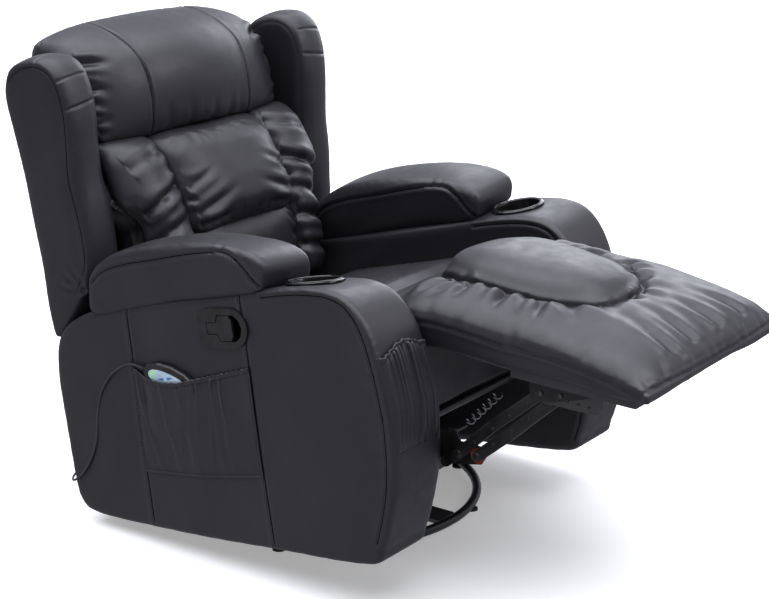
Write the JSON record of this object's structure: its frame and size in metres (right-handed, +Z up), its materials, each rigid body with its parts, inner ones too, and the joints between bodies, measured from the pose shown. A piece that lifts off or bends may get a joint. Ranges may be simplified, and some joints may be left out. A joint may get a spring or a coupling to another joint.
{
  "type": "reclining armchair",
  "caption": "Wing-back upholstered recliner on a round swivel and rocker base, with a fold-out footrest, padded arms with cup holders, pockets and a wired handset.",
  "frame": {"origin": "on the floor, under the middle of the whole chair's length and width at rest", "axes": "+Z up, the sitter faces -Y, +X is the sitter's left"},
  "size_m": [0.817, 1.3477, 0.9147],
  "materials": {
    "leather": "black bonded leather, soft sheen with a fine grain",
    "cloth": "black dust-cover cloth, matt",
    "black_steel": "black powder coat, semi-gloss",
    "spring_steel": "bare bright spring wire",
    "black_plastic": "black moulded plastic, satin",
    "gloss_plastic": "black moulded plastic, glossy",
    "red_plastic": "red moulded plastic",
    "button_plastic": "pale blue moulded plastic",
    "timber": "plain sawn timber and board, unseen under the covers",
    "rubber": "matt black rubber"
  },
  "bodies": {
    "base": {"base_ring": "black_steel", "base_spider": "black_steel", "foot_front": "rubber", "foot_left": "rubber", "foot_rear": "rubber", "foot_right": "rubber", "lower_swivel_plate": "black_steel"},
    "turntable": {"upper_swivel_plate": "black_steel", "rocker_rail_left": "black_steel", "rocker_rail_right": "black_steel", "rocker_spring_left": "spring_steel", "rocker_spring_right": "spring_steel"},
    "chassis": {"rocker_cam_left": "black_steel", "rocker_cam_right": "black_steel", "side_plate_left": "black_steel", "side_plate_right": "black_steel", "seat_frame": "black_steel", "control_box": "black_plastic", "seat_cushion": "leather", "chaise_bridge": "leather", "arm_left": "leather", "arm_right": "leather", "arm_pad_left": "leather", "arm_pad_right": "leather", "cup_holder_left": "gloss_plastic", "cup_holder_right": "gloss_plastic", "front_pocket_left": "leather", "front_pocket_right": "leather", "handle_bezel": "black_plastic", "side_pocket": "leather", "handset": "black_plastic", "handset_strain_relief": "rubber", "handset_lead": "rubber", "rear_panel": "cloth"},
    "lever": {"pull_lever": "black_plastic"},
    "power_key": {"power_button": "button_plastic"},
    "heat_key": {"heat_button": "button_plastic"},
    "rear_links": {"rear_link_left": "black_steel", "rear_link_right": "black_steel", "torque_tube": "black_steel", "pivot_washer_left": "red_plastic", "pivot_washer_right": "red_plastic", "assist_spring": "spring_steel"},
    "upper_links": {"upper_link_left": "black_steel", "upper_link_right": "black_steel"},
    "lower_links": {"lower_link_left": "black_steel", "lower_link_right": "black_steel"},
    "ottoman": {"ottoman_bracket_left": "black_steel", "ottoman_bracket_right": "black_steel", "ottoman_board": "leather", "ottoman_pad": "leather"},
    "backrest": {"back_frame": "timber", "rear_cover": "leather", "head_pillow": "leather", "lumbar_pillow": "leather", "bolster_left": "leather", "bolster_right": "leather", "wing_left": "leather", "wing_right": "leather", "vibration_motor": "black_plastic"}
  },
  "joints": [
    {"name": "swivel", "type": "hinge", "parent": "base", "child": "turntable", "pos_m": [0, 0.142, 0.03], "axis": [0, 0, 1], "continuous": true},
    {"name": "rock", "type": "hinge", "parent": "turntable", "child": "chassis", "pos_m": [0, 0.142, 0.1], "axis": [1, 0, 0], "range_deg": [-1.5, 10], "stiffness_Nm_per_rad": 3000, "deforming": ["rocker_spring_left", "rocker_spring_right"]},
    {"name": "recline", "type": "hinge", "parent": "chassis", "child": "backrest", "pos_m": [0, 0.34999, 0.27596], "axis": [-1, 0, 0], "range_deg": [-1.5, 34]},
    {"name": "footrest", "type": "hinge", "parent": "chassis", "child": "ottoman", "pos_m": [0, -0.30164, 0.52231], "axis": [1, 0, 0], "range_deg": [0, 76.6]},
    {"name": "rear_links_pivot", "type": "hinge", "parent": "chassis", "child": "rear_links", "pos_m": [0, -0.13501, 0.3737], "axis": [1, 0, 0], "range_deg": [0, 76.6], "deforming": ["assist_spring"]},
    {"name": "upper_links_pivot", "type": "hinge", "parent": "rear_links", "child": "upper_links", "pos_m": [0, -0.30775, 0.25678], "axis": [1, 0, 0], "range_deg": [-76.6, 0]},
    {"name": "lower_links_pivot", "type": "hinge", "parent": "rear_links", "child": "lower_links", "pos_m": [0, -0.34551, 0.26021], "axis": [1, 0, 0], "range_deg": [-76.6, 0]},
    {"name": "pull_lever_hinge", "type": "hinge", "parent": "chassis", "child": "lever", "pos_m": [-0.402, 0.1021, 0.4566], "axis": [0, -0.1736, -0.9848], "range_deg": [0, 28], "stiffness_Nm_per_rad": 0.6},
    {"name": "power_button_press", "type": "slide", "parent": "chassis", "child": "power_key", "axis": [1, 0, 0], "range_m": [0, 0.001], "stiffness_N_per_m": 400},
    {"name": "heat_button_press", "type": "slide", "parent": "chassis", "child": "heat_key", "axis": [1, 0, 0], "range_m": [0, 0.001], "stiffness_N_per_m": 400}
  ],
  "couplings": [
    {"joint": "rear_links_pivot", "follows": "footrest", "ratio": 1},
    {"joint": "upper_links_pivot", "follows": "footrest", "ratio": -1},
    {"joint": "lower_links_pivot", "follows": "footrest", "ratio": -1}
  ]
}
